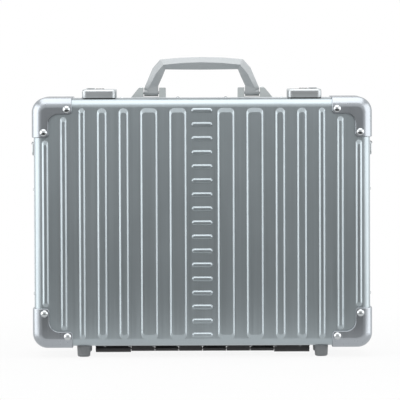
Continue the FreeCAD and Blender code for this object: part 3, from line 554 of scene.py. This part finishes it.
def organiser():
    """Leather covered board in the lid, lightly padded inside a sewn border."""
    low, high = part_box("organiser_panel")
    back_y, front_y = low.y, high.y - 1.4 * MM
    board = upright_grid("organiser_board", low, high, front_y, 6 * MM, 1)
    edit(board, "FACE", lambda middle, way: True)
    bpy.ops.mesh.extrude_region_move(TRANSFORM_OT_translate={"value": (0, back_y - front_y, 0)})
    bpy.ops.mesh.select_all(action="SELECT")
    bpy.ops.mesh.normals_make_consistent(inside=False)
    close_edit()
    margin = 11 * MM
    held = [v.index for v in board.data.vertices if v.co.y < front_y - MM
            or min(v.co.x - low.x, high.x - v.co.x, v.co.z - low.z, high.z - v.co.z) < margin]
    round_corners(board, low, high, 8 * MM)
    inflate(board, held, 1.2 * MM)
    modify(board, "SUBSURF", levels=1, render_levels=1)
    finish_piece(board, "lid", FINISHES["pocket_leather"], ["organiser_panel"], 80)
    y, inset = front_y + 0.1 * MM, 6 * MM
    left, right, bottom, top = low.x + inset, high.x - inset, low.z + inset, high.z - inset
    pocket_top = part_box("document_pocket")[1].z + 4 * MM
    seams("organiser_border_stitching",
          [((left, y, top), (right, y, top)), ((left, y, pocket_top), (left, y, top - inset)),
           ((right, y, pocket_top), (right, y, top - inset))], (0, 1, 0), "lid")


LEATHER_T = 1.2 * MM
SEAM_IN, SEAM_UP = 3.5 * MM, 1.3 * MM   # a pocket's seam, in from its edge and up from its back


def patch_pocket(name, low, high, depth, mouth_dip):
    """A leather pocket sewn on at its sides and foot, which stands open a little at its mouth.
    Its sheet rises from its seams to depth, and its mouth dips in the middle by mouth_dip."""
    back_y = low.y + 0.3 * MM
    sheet = upright_grid(name, low, high, back_y, 4 * MM, 1)
    width, height = high.x - low.x, high.z - low.z
    margin, roll = 7 * MM, 9 * MM
    for vertex in sheet.data.vertices:
        across, up = (vertex.co.x - low.x) / width, (vertex.co.z - low.z) / height
        rim = min(vertex.co.x - low.x, high.x - vertex.co.x, vertex.co.z - low.z)
        rise = min(max((rim - margin) / roll, 0), 1)
        rise = rise * rise * (3 - 2 * rise)
        slack = 0.75 + 0.25 * up + 0.05 * math.sin(across * 9.4 + up * 5)
        vertex.co.y += depth * rise * slack
        vertex.co.z -= mouth_dip * math.sin(math.pi * across) * max(up - 0.6, 0) / 0.4
    round_corners(sheet, low, Vector((high.x, high.y, high.z + 20 * MM)), 5 * MM)
    modify(sheet, "SOLIDIFY", thickness=LEATHER_T, offset=1, use_even_offset=True)
    modify(sheet, "SUBSURF", levels=1, render_levels=1)
    left, right, foot, mouth = low.x + SEAM_IN, high.x - SEAM_IN, low.z + SEAM_IN, high.z - 2 * MM
    y, side_foot = back_y + SEAM_UP, low.z + 8 * MM
    rows = [((left, y, foot), (right, y, foot)),
            ((left, y, side_foot), (left, y, mouth)),
            ((right, y, side_foot), (right, y, mouth))]
    return sheet, rows


def pockets():
    low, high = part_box("document_pocket")
    sheet, rows = patch_pocket("document_pocket_sheet", low, high, 4.2 * MM, 3 * MM)
    finish_piece(sheet, "lid", FINISHES["pocket_leather"], ["document_pocket"], 80)
    seams("document_pocket_stitching", rows, (0, 1, 0), "lid")
    low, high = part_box("small_pockets")
    inner = 66 * MM
    for side in (-1, 1):
        a = Vector((low.x, low.y, low.z)) if side < 0 else Vector((inner, low.y, low.z))
        b = Vector((-inner, high.y, high.z)) if side < 0 else Vector((high.x, high.y, high.z))
        name = "left" if side < 0 else "right"
        sheet, rows = patch_pocket(f"{name}_small_pocket", a, b, 1.4 * MM, 2 * MM)
        finish_piece(sheet, "lid", FINISHES["pocket_leather"],
                     ["small_pockets"] if side < 0 else (), 80)
        seams(f"{name}_small_pocket_stitching", rows, (0, 1, 0), "lid")


def pen_loops():
    """Four leather loops that stand off the organiser, each on two sewn tabs."""
    low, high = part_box("pen_loops")
    pitch, half_w, radius = 24 * MM, 7 * MM, 4.6 * MM
    first_x, back_y, crown_y = low.x + half_w, low.y, high.y
    centre_y = crown_y - 1.3 * MM - radius
    take_nothing()
    bpy.ops.mesh.primitive_cylinder_add(vertices=32, radius=radius, depth=high.z - low.z, end_fill_type="NOTHING",
                                        location=(first_x, centre_y, (low.z + high.z) / 2))
    loop = settle(bpy.context.object, "pen_loop")
    edit(loop, "FACE", lambda middle, way: middle.y < centre_y)
    bpy.ops.mesh.delete(type="FACE")
    close_edit()
    edit(loop, "EDGE", lambda middle, way: abs(way.z) > 0.9 and middle.y < centre_y + 0.1 * MM)
    bpy.ops.mesh.extrude_edges_move(TRANSFORM_OT_translate={"value": (0, back_y + 0.4 * MM - centre_y, 0)})
    close_edit()
    for side in (-1, 1):
        edit(loop, "EDGE", lambda middle, way: abs(way.z) > 0.9 and middle.y < back_y + MM
             and (middle.x - first_x) * side > 0)
        bpy.ops.mesh.extrude_edges_move(TRANSFORM_OT_translate={"value": (side * (half_w - radius), 0, 0)})
        close_edit()
    edit(loop, "FACE", lambda middle, way: True)
    bpy.ops.mesh.normals_make_consistent(inside=False)
    close_edit()
    modify(loop, "SOLIDIFY", thickness=1.1 * MM, offset=0, use_even_offset=True)
    modify(loop, "BEVEL", width=0.25 * MM, segments=2, limit_method="ANGLE", angle_limit=math.radians(50))
    loops = [loop] + [copy_of(loop, "pen_loop", (i * pitch, 0, 0)) for i in range(1, 4)]
    finish_piece(join(loops, "pen_loop_row"), "lid", FINISHES["pocket_leather"], ["pen_loops"])


# ---- document straps ------------------------------------------------------------------------
def straps():
    """Two webbing straps with box-and-cross stitching at their sewn ends."""
    low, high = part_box("document_strap")
    inner = 26 * MM
    halves, rows = [], []
    y = low.y + 0.5 * MM
    for side in (-1, 1):
        a = Vector((low.x, y, low.z)) if side < 0 else Vector((inner - 4 * MM, y, low.z))
        b = Vector((-inner + 4 * MM, y, high.z)) if side < 0 else Vector((high.x, y, high.z))
        web = upright_grid("strap", a, b, y, 3.5 * MM, -1)
        for vertex in web.data.vertices:
            from_edge = min(vertex.co.z - low.z, high.z - vertex.co.z)
            vertex.co.y += 0.35 * MM * max(1 - from_edge / (3 * MM), 0)
            vertex.co.y += 0.12 * MM * math.sin(vertex.co.x * 95)
        modify(web, "SOLIDIFY", thickness=1.3 * MM, offset=-1, use_even_offset=True)
        modify(web, "BEVEL", width=0.3 * MM, segments=2, limit_method="ANGLE", angle_limit=math.radians(60))
        halves.append(web)
        end_x, top = side * (high.x - 5 * MM), y - 0.25 * MM
        box_x = side * (high.x - 27 * MM)
        z0, z1 = low.z + 4 * MM, high.z - 4 * MM
        rows += [((end_x, top, z0), (box_x, top, z0)), ((end_x, top, z1), (box_x, top, z1)),
                 ((end_x, top, z0), (end_x, top, z1)), ((box_x, top, z0), (box_x, top, z1)),
                 ((end_x, top, z0), (box_x, top, z1)), ((end_x, top, z1), (box_x, top, z0))]
    finish_piece(join(halves, "document_straps"), "base", FINISHES["webbing"], ["document_strap"])
    seams("document_strap_stitching", rows, (0, -1, 0), "base")


def cut_block(piece, low, high):
    """Cuts a box-shaped opening out of the piece."""
    tool = block("tool", low, high)
    modify(piece, "BOOLEAN", operation="DIFFERENCE", object=tool, solver="EXACT")
    bpy.data.objects.remove(tool)


def buckle():
    """Side-release buckle: socket with two windows, a tongue with two prongs, and bars for the straps."""
    low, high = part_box("strap_buckle")
    middle = (low.z + high.z) / 2
    y0, y1 = low.y, high.y
    socket = block("buckle_socket", (low.x, y0, low.z), (4 * MM, y1, high.z))
    edit(socket, "EDGE", lambda at, way: abs(way.y) > 0.9)
    bpy.ops.mesh.bevel(offset=4 * MM, segments=5, affect="EDGES")
    close_edit()
    cut_block(socket, (low.x + 4 * MM, y0 - MM, middle - 14.5 * MM),
              (low.x + 8.5 * MM, y1 + MM, middle + 14.5 * MM))
    for side in (-1, 1):
        z_in, z_out = sorted((middle + side * 12.5 * MM, middle + side * 19 * MM))
        cut_block(socket, (-10 * MM, y0 + 1.5 * MM, z_in), (-1 * MM, y1 - 1.2 * MM, z_out))
    cut_block(socket, (-8 * MM, y0 - MM, middle - 7 * MM), (0.5 * MM, y0 + 0.6 * MM, middle + 7 * MM))
    tongue = block("buckle_tongue", (4.3 * MM, y0 + 0.8 * MM, low.z + 2 * MM),
                   (high.x, y1 - 0.4 * MM, high.z - 2 * MM))
    edit(tongue, "EDGE", lambda at, way: abs(way.y) > 0.9)
    bpy.ops.mesh.bevel(offset=3 * MM, segments=5, affect="EDGES")
    close_edit()
    cut_block(tongue, (high.x - 8.5 * MM, y0 - MM, middle - 14.5 * MM),
              (high.x - 4 * MM, y1 + MM, middle + 14.5 * MM))
    pieces = [socket, tongue]
    for side in (-1, 1):
        z_in, z_out = sorted((middle + side * 12.8 * MM, middle + side * 16.6 * MM))
        prong = block("buckle_prong", (-9.4 * MM, y0 + 1.8 * MM, z_in), (-1.6 * MM, y1 - 1.5 * MM, z_out))
        edit(prong, "EDGE", lambda at, way: abs(way.y) > 0.9)
        bpy.ops.mesh.bevel(offset=1.4 * MM, segments=4, affect="EDGES")
        close_edit()
        pieces.append(prong)
    for piece in pieces:
        modify(piece, "BEVEL", width=0.5 * MM, segments=2, limit_method="ANGLE", angle_limit=math.radians(50))
    finish_piece(join(pieces, "strap_release_buckle"), "base", FINISHES["buckle_plastic"],
                 ["strap_buckle"])


# ---- number wheels --------------------------------------------------------------------------
def wheel_numbers(side, number):
    """The ten digits round one number wheel, each printed between two grip notches."""
    low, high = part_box(f"{side}_dial_{number}")
    centre = (low + high) / 2
    radius = (high.y - low.y) / 2
    digits = []
    for value in range(10):
        take_nothing()
        bpy.ops.object.text_add()
        digit = bpy.context.object
        digit.data.body = str(value)
        digit.data.align_x, digit.data.align_y = "CENTER", "CENTER"
        digit.data.size = 3.2 * MM
        digit.data.extrude = 0.06 * MM
        bpy.ops.object.convert(target="MESH")
        digit = bpy.context.object
        turn = Matrix.Rotation(math.tau * value / 10, 4, "X")
        digit.matrix_world = Matrix.Translation(centre) @ turn @ Matrix.Translation((0, 0, radius))
        digits.append(settle(digit, "digit"))
    piece = join(digits, f"{side}_wheel_{number}_numbers")
    finish_piece(piece, f"{side}_dial_{number}", INK, angle=30)


# ---- floor and light ------------------------------------------------------------------------
def seen_white(tree):
    """1 for rays from the camera and for what metal or glass shows, 0 for the light that reaches a dull surface."""
    path = add_node(tree, "ShaderNodeLightPath")
    seen = add_node(tree, "ShaderNodeMath", {"operation": "MAXIMUM"},
                    {0: path.outputs["Is Camera Ray"], 1: path.outputs["Is Glossy Ray"]})
    return add_node(tree, "ShaderNodeMath", {"operation": "MAXIMUM"},
                    {0: seen.outputs[0], 1: path.outputs["Is Transmission Ray"]}).outputs[0]


def floor():
    """A sheet of pale board that runs far back. It clears to the white studio behind it, so that no horizon shows,
    and so that the open lid shows where it hangs lower than the feet."""
    take_nothing()
    bpy.ops.mesh.primitive_plane_add(size=60, location=(0, 0, 0))
    board = bpy.context.object
    board.name = "floor"
    material, tree, shader = new_material("white_board")
    shader.inputs["Base Color"].default_value = linear("#d2d2d2")
    shader.inputs["Roughness"].default_value = 0.8
    shader.inputs["Specular IOR Level"].default_value = 0.1
    place = add_node(tree, "ShaderNodeTexCoord").outputs["Object"]
    distance = add_node(tree, "ShaderNodeVectorMath", {"operation": "LENGTH"}, {0: place})
    whiten = add_node(tree, "ShaderNodeMapRange", inputs={
        "Value": distance.outputs["Value"], "From Min": 0.3, "From Max": 0.7, "To Min": 0.9, "To Max": 1.0})
    clear = add_node(tree, "ShaderNodeBsdfTransparent")
    share = add_node(tree, "ShaderNodeMath",
                     {"operation": "MULTIPLY"}, {0: seen_white(tree), 1: whiten.outputs[0]})
    mixed = add_node(tree, "ShaderNodeMixShader",
                     inputs={0: share.outputs[0], 1: shader.outputs[0], 2: clear.outputs[0]})
    tree.links.new(mixed.outputs[0], tree.nodes["Material Output"].inputs["Surface"])
    board.data.materials.append(material)
    board.visible_shadow = False


def dark_cards():
    """Two dark cards that only reflections see. One lies in front of the case and one stands behind the camera:
    they keep the lid's flat strips from washing out, and darken them towards the floor."""
    for name, place, size, turn, colour in (
            ("standing_card", (0, -2.6, 0.2), (1.8, 0.4), math.pi / 2, "#8c8c8c"),
            ("lying_card", (0, -1.3, 0.004), (2.0, 2.2), 0, "#424242")):
        take_nothing()
        bpy.ops.mesh.primitive_plane_add(size=1, location=place, rotation=(turn, 0, 0))
        card = bpy.context.object
        card.name = name
        card.scale = (*size, 1)
        material, tree, shader = new_material(f"{name}_felt")
        shader.inputs["Base Color"].default_value = linear(colour)
        shader.inputs["Roughness"].default_value = 1.0
        card.data.materials.append(material)
        card.visible_camera = card.visible_diffuse = card.visible_shadow = False


def softbox(name, place, aim, width, height, power):
    data = bpy.data.lights.new(name, "AREA")
    data.shape, data.size, data.size_y, data.energy = "RECTANGLE", width, height, power
    lamp = bpy.data.objects.new(name, data)
    bpy.context.scene.collection.objects.link(lamp)
    way = Vector(aim) - Vector(place)
    lamp.matrix_world = Matrix.Translation(place) @ way.to_track_quat("-Z", "Y").to_matrix().to_4x4()
    lamp.visible_camera = False


def studio():
    world = bpy.context.scene.world or bpy.data.worlds.new("studio")
    bpy.context.scene.world = world
    world.use_nodes = True
    tree = world.node_tree
    tree.nodes.clear()
    strength = add_node(tree, "ShaderNodeMapRange",
                        inputs={"Value": seen_white(tree), "To Min": 0.55, "To Max": 1.0})
    back = add_node(tree, "ShaderNodeBackground",
                    inputs={"Color": (1, 1, 1, 1), "Strength": strength.outputs[0]})
    add_node(tree, "ShaderNodeOutputWorld", inputs={"Surface": back.outputs[0]})
    middle = (0, 0, MIDDLE_Z)
    softbox("top_softbox", (0, -0.1, 1.3), middle, 1.6, 1.8, 16)
    softbox("left_softbox", (-1.25, -0.35, 0.4), middle, 1.6, 1.3, 13)
    softbox("right_softbox", (1.25, -0.35, 0.4), middle, 1.6, 1.3, 11)


set_camera()
finish_cad_nodes()
liner("base", -1)
liner("lid", 1)
quilted_pad()
organiser()
pockets()
pen_loops()
straps()
buckle()
for latch_side in ("left", "right"):
    for wheel in (1, 2, 3):
        wheel_numbers(latch_side, wheel)
floor()
dark_cards()
studio()
bpy.context.scene.view_settings.view_transform = "Standard"
